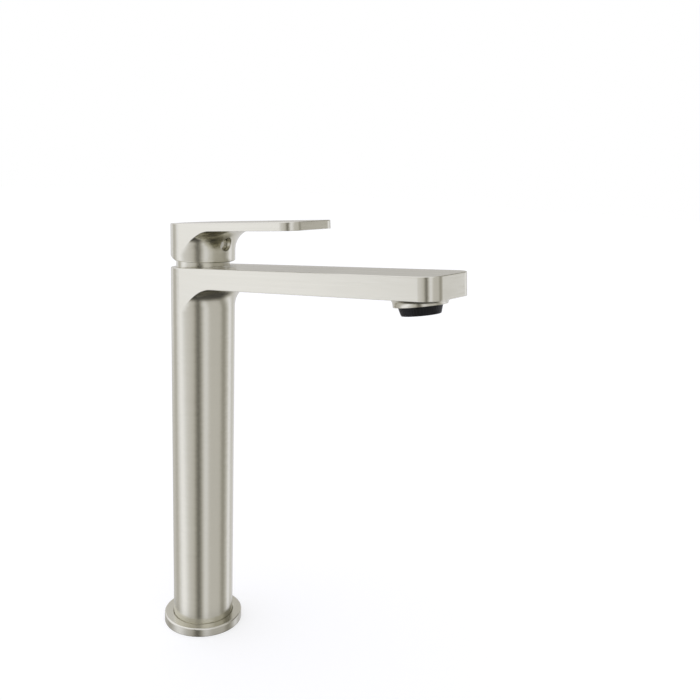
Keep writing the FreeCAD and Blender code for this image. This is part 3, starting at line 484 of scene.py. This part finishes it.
class MIXER_OT_cover_plug(bpy.types.Operator):
    """Crowned and plated cap over the handle's set screw"""

    bl_idname = "mixer.cover_plug"
    bl_label = "Cover plug"

    def execute(self, context):
        sizes = context.scene.mixer_sizes
        low, high = (np.array(c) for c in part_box("screw_cover_plug"))
        radius = (high[0] - low[0]) / 2
        start = (0.0, high[1], (low[2] + high[2]) / 2)
        length = high[1] - low[1]
        rim, crown = sizes.plug_rim, sizes.plug_crown
        # Along the axis, s goes from the hidden end at 0 to the face's middle at the full length.
        shoulder = length - crown - rim
        wall = [(s, radius) for s in evenly(0.0, shoulder, 4)]
        edge = [(shoulder + rim * math.sin(a), radius - rim * (1 - math.cos(a)))
                for a in evenly(0.0, math.pi / 2, 8)]
        # The crown is a shallow bowl upside down: s = length - crown * (r / face) ** 2.
        face = radius - rim
        dome = [(length - crown * (r / face) ** 2, r) for r in evenly(face, 0.0, 14)]
        profile = [(0.0, 0.0), (0.0, radius * PLUG_ROOT), *wall[1:], *edge, *dome, (length, 0.0)]
        plug = turned_surface("screw_cover_cap", profile, start, (0, -1, 0), PLUG_STEPS)
        plated = plain_finish("plated_cap", settings().cap_plating, 0.16, 1.0, grain=900.0,
                              grain_depth=0.05, tone=0.02)
        plug.data.materials.append(plated)
        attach(plug, "lever")
        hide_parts("screw_cover_plug")
        return {"FINISHED"}


class MIXER_OT_aerator(bpy.types.Operator):
    """Black moulded housing of the aerator, ribbed for the fingers"""

    bl_idname = "mixer.aerator"
    bl_label = "Aerator"

    def execute(self, context):
        sizes = context.scene.mixer_sizes
        rim, axis = AERATOR_RIM, AERATOR_AXIS
        band, ribs = sizes.aerator_band, sizes.aerator_ribs
        top, tip, drop = AERATOR_TOP, AERATOR_TIP, AERATOR_DROP
        bore, mouth, lip, thread = AERATOR_BORE, AERATOR_MOUTH, AERATOR_LIP, AERATOR_THREAD

        def wall(s):
            """The wall's radius, which narrows evenly from the collar down to the rounding."""
            return top + (tip - top) * s / (drop - ROUND)

        # Rows hold the distance below the collar, the radius, and 1 where the flutes are full.
        plain = band * RIB_START
        foot = drop - ROUND
        rows = [(-THREAD_LENGTH, bore, 0), (-THREAD_LENGTH, thread, 0), (0.0, thread, 0),
                (0.0, top - SHADOW_GAP, 0), (SHADOW_GAP, top - SHADOW_GAP, 0),
                (SHADOW_GAP, wall(SHADOW_GAP), 0), (plain, wall(plain), 0)]
        rows += [(s, wall(s), 1) for s in np.linspace(band, foot - band, 5)]
        rows += [(foot - plain, wall(foot - plain), 0)]
        rows += [(foot + ROUND * math.sin(a), tip - ROUND * (1 - math.cos(a)), 0)
                 for a in np.linspace(0.0, math.pi / 2, 6)]
        rows += [(drop, mouth, 0), (drop - lip, mouth, 0), (drop - lip, bore, 0),
                 (-THREAD_LENGTH, bore, 0)]
        housing = turned_surface(
            "aerator_ribbed_housing", [row[:2] for row in rows], rim, axis, ribs * RIB_STEPS, ribs,
            [sizes.rib_depth * row[2] for row in rows])
        black = plain_finish("housing_plastic", settings().housing_black, 0.4, shine=0.2)
        housing.data.materials.append(black)
        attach(housing, "faucet_body")
        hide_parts("aerator_housing")
        return {"FINISHED"}


# Factor on the whole studio. With it plain grey renders at 0.72 to 1.03 of its own value.
STUDIO_POWER = 1.166

# Studio light as panels around the object: compass angle in degrees clockwise from the back
# (0) over the cold side (90) to the front (180), half-width in degrees, strength added to the
# ring's own, or taken from it by a flag, and how far the panel leans, in degrees of compass for
# each degree of height.
STUDIO_LEVEL = 0.60
STUDIO_PANELS = (
    ("key panel", -53, 30, 0.50, 0.5),
    ("key panel's wing", -75, 26, 0.12, 0.0),
    ("front strip", -147, 18, 0.24, 0.0),
    ("side strip", 110, 19, 0.42, 0.0),
    ("rear fill", 72, 34, 0.12, 0.0),
    ("narrow flag", -119.5, 22, -0.45, 0.0),
    ("side flag", 143, 20, -0.27, 0.0),
    ("rear flag", -18, 16, -0.09, 0.0),
)
# A panel stands at its own angle at the first of these heights, and leans between the others.
LEAN_FROM = -25.0
LEAN_LOWEST = -40.0
LEAN_HIGHEST = 10.0

# The ring gives way to the ceiling between these heights, in degrees.
RING_TOP = 4.0
CEILING_FROM = 24.0
CEILING_LEVEL = 0.64

# Round spots of light and shade: direction, cosines where one begins and is full, its strength.
STUDIO_SPOTS = (
    ("ceiling box", (-0.20, 0.53, 0.82), 0.50, 0.95, 1.10),
    ("front box", (-0.55, -0.66, 0.50), 0.75, 0.97, 1.00),
    ("upper flag", (-0.828, -0.468, 0.309), 0.94, 0.993, 0.08),
    ("ceiling flag", (0.79, -0.23, 0.57), 0.86, 0.97, 0.24),
    ("rear wall", (0.80, 0.52, 0.31), 0.90, 0.98, 0.50),
    ("rear glow", (0.14, 0.985, -0.07), 0.965, 0.993, 0.82),
    ("floor shade", (0.15, 0.02, -0.99), 0.70, 0.90, 0.06),
)

# Dim light is a little warm and strong light a little cool, between these strengths.
WARM_AT = 0.25
COOL_AT = 1.0
WARM = (1.04, 1.01, 0.95, 1)
COOL = (0.99, 1.00, 1.095, 1)

FLOOR_HALF = 6.0            # half of the floor's side
FLOOR_DROP = 0.0002         # floor below the deck plane
FLOOR_GREY = 0.5            # with the lift below it adds up to white where nothing shades it
FLOOR_LIFT = 0.56
FOOT_SHADE = 0.22           # how much reflections are dimmed beside the foot
SHADE_FULL = 0.030          # in full out to this distance from the axis
SHADE_GONE = 0.055          # and not at all from this distance on

SENSOR_WIDTH = 36.0         # camera's sensor, in mm
NEAREST = 0.01              # nearest that the camera sees


def studio_world():
    """White for the camera, also through glass. Metal sees a ring of soft panels and dark flags.

    Each panel adds to the ring a smooth hump in compass angle, whose middle may lean with the
    height. Above the ring comes an even ceiling. Boxes, flags and the shade under the object
    are round spots that ease in as a ray turns towards their middles.
    """
    world = bpy.data.worlds.new("studio")
    world.use_nodes = True
    bpy.context.scene.world = world
    g = Graph(world.node_tree)
    ray = g.add("ShaderNodeTexCoord").outputs["Generated"]
    parts = g.add("ShaderNodeSeparateXYZ", Vector=ray).outputs
    compass = g.math("DEGREES", g.math("ARCTAN2", parts["X"], parts["Y"]))
    height = g.math("DEGREES", g.math("ARCSINE", parts["Z"]))
    rise = g.math("MINIMUM", g.math("MAXIMUM", height, LEAN_LOWEST), LEAN_HIGHEST)
    rise = g.math("SUBTRACT", rise, LEAN_FROM)
    level = STUDIO_LEVEL
    for _, middle, half_width, strength, lean in STUDIO_PANELS:
        off = g.math("SUBTRACT", compass, g.math("ADD", g.math("MULTIPLY", rise, lean), middle))
        off = g.math("ABSOLUTE", g.math("WRAP", off, 180.0, -180.0))
        level = g.math("ADD", level, g.smooth(off, 0.0, half_width, strength, 0.0))
    above = g.smooth(height, RING_TOP, CEILING_FROM, 0.0, 1.0)
    level = g.mix("FLOAT", above, level, CEILING_LEVEL)
    for _, towards, begins, full, strength in STUDIO_SPOTS:
        near = g.add("ShaderNodeVectorMath", {"operation": "DOT_PRODUCT"}, i0=ray, i1=towards)
        share = g.smooth(near.outputs["Value"], begins, full, 0.0, 1.0)
        level = g.mix("FLOAT", share, level, strength)
    tint = g.mix("RGBA", g.smooth(level, WARM_AT, COOL_AT, 0.0, 1.0), WARM, COOL)
    power = g.math("MULTIPLY", level, STUDIO_POWER)
    studio = g.add("ShaderNodeBackground", Color=tint, Strength=power)
    white = g.add("ShaderNodeBackground", Color=(1, 1, 1, 1), Strength=1.0)
    path = g.add("ShaderNodeLightPath").outputs
    seen = g.math("MAXIMUM", path["Is Camera Ray"], path["Is Transmission Ray"])
    both = g.add("ShaderNodeMixShader", i0=seen, i1=studio.outputs[0], i2=white.outputs[0])
    g.add("ShaderNodeOutputWorld", Surface=both.outputs[0])


def studio_floor():
    """A pale floor that is white where nothing shades it, and open to a camera below it.

    Reflections see the studio's ring through it, dimmed close to the object, where the floor
    lies in its shade.
    """
    signs = ((-1, -1), (1, -1), (1, 1), (-1, 1))
    corners = [(x * FLOOR_HALF, y * FLOOR_HALF, -FLOOR_DROP) for x, y in signs]
    mesh = bpy.data.meshes.new("floor")
    mesh.from_pydata(corners, [], [(0, 1, 2, 3)])
    floor = bpy.data.objects.new("floor", mesh)
    bpy.context.scene.collection.objects.link(floor)
    material, g = new_material("pale_floor")
    path = g.add("ShaderNodeLightPath").outputs
    pale = g.add("ShaderNodeBsdfDiffuse", Color=(FLOOR_GREY, FLOOR_GREY, FLOOR_GREY, 1))
    lift = g.add("ShaderNodeEmission", Color=(1, 1, 1, 1), Strength=FLOOR_LIFT)
    seen = g.add("ShaderNodeAddShader", i0=pale.outputs[0], i1=lift.outputs[0])
    place = g.add("ShaderNodeTexCoord").outputs["Object"]
    away = g.add("ShaderNodeVectorMath", {"operation": "LENGTH"}, i0=place).outputs["Value"]
    dimmed = g.smooth(away, SHADE_FULL, SHADE_GONE, 1 - FOOT_SHADE, 1.0)
    veil = g.mix("FLOAT", path["Is Glossy Ray"], 1.0, dimmed)
    clear = g.add("ShaderNodeBsdfTransparent", Color=veil)
    above = g.math("SUBTRACT", 1.0, g.add("ShaderNodeNewGeometry").outputs["Backfacing"])
    both = g.add("ShaderNodeMixShader", i0=g.math("MULTIPLY", path["Is Camera Ray"], above),
                 i1=clear.outputs[0], i2=seen.outputs[0])
    g.add("ShaderNodeOutputMaterial", Surface=both.outputs[0])
    mesh.materials.append(material)


def studio_camera(studio):
    """The photograph's camera: heading, drop below the level line, and a slight roll."""
    data = bpy.data.cameras.new("camera")
    data.sensor_width = SENSOR_WIDTH
    data.lens = studio.focal_length
    data.clip_start = NEAREST
    camera = bpy.data.objects.new("camera", data)
    bpy.context.scene.collection.objects.link(camera)
    turn = Matrix.Rotation(-studio.camera_turn, 4, "Z")
    tilt = Matrix.Rotation(math.pi / 2 - studio.camera_drop, 4, "X")
    roll = Matrix.Rotation(studio.camera_roll, 4, "Z")
    camera.matrix_world = Matrix.Translation(Vector(studio.camera_place)) @ turn @ tilt @ roll
    bpy.context.scene.camera = camera


class MIXER_OT_stage(bpy.types.Operator):
    """Floor, studio light and camera"""

    bl_idname = "mixer.stage"
    bl_label = "Stage"

    def execute(self, context):
        studio_world()
        studio_floor()
        studio_camera(context.scene.mixer_studio)
        context.scene.view_settings.view_transform = "Standard"
        return {"FINISHED"}


class MIXER_PT_panel(bpy.types.Panel):
    """The steps in the sidebar"""

    bl_label = "Basin mixer"
    bl_space_type = "VIEW_3D"
    bl_region_type = "UI"
    bl_category = "Mixer"

    def draw(self, context):
        for operator in OPERATORS:
            self.layout.operator(operator.bl_idname)


OPERATORS = (MIXER_OT_metal, MIXER_OT_inner, MIXER_OT_cover_plug, MIXER_OT_aerator,
             MIXER_OT_stage)
CLASSES = (MixerSizes, MixerFinish, MixerStudio, *OPERATORS, MIXER_PT_panel)


def register():
    for cls in CLASSES:
        bpy.utils.register_class(cls)
    bpy.types.Scene.mixer_sizes = bpy.props.PointerProperty(type=MixerSizes)
    bpy.types.Scene.mixer_finish = bpy.props.PointerProperty(type=MixerFinish)
    bpy.types.Scene.mixer_studio = bpy.props.PointerProperty(type=MixerStudio)


def unregister():
    del bpy.types.Scene.mixer_studio
    del bpy.types.Scene.mixer_finish
    del bpy.types.Scene.mixer_sizes
    for cls in reversed(CLASSES):
        bpy.utils.unregister_class(cls)


def main():
    """Build everything."""
    register()
    bpy.ops.mixer.metal()
    bpy.ops.mixer.inner()
    bpy.ops.mixer.cover_plug()
    bpy.ops.mixer.aerator()
    bpy.ops.mixer.stage()


if __name__ == "__main__":
    main()
